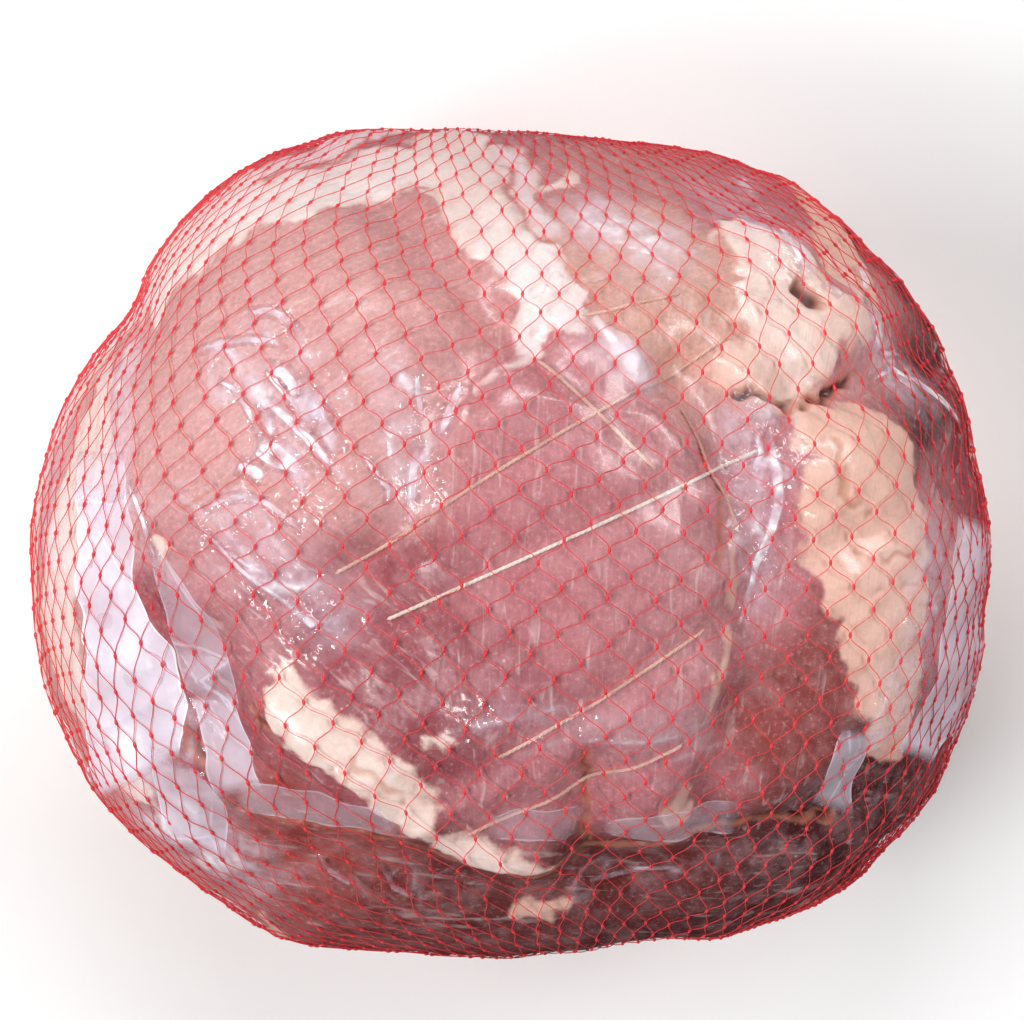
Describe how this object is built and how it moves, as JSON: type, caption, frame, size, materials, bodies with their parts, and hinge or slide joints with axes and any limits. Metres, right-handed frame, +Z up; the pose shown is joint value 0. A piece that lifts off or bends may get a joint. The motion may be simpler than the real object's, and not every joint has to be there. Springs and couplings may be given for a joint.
{
  "type": "raw boneless pork leg",
  "caption": "Raw boneless pork leg, rolled and tied with twine, vacuum packed in clear film and held in a red diamond-mesh net; rests on its broad flat side.",
  "frame": {"origin": "on the surface the pack rests on, under the middle of its plan outline", "axes": "+Z up out of the cut face, +X to the right of the picture along the longest extent, +Y away from the viewer towards the far net gather"},
  "size_m": [0.2508, 0.2144, 0.1517],
  "materials": {
    "packed_meat": "wet raw lean and fat under tight clear film",
    "film": "thin clear vacuum film, glossy and creased, milky where it stands off the meat",
    "twine": "undyed cotton butcher's twine",
    "net": "red extruded plastic net thread",
    "clip": "crimped wire clip, satin"
  },
  "bodies": {
    "root": {"netted_leg": "packed_meat"}
  },
  "joints": []
}
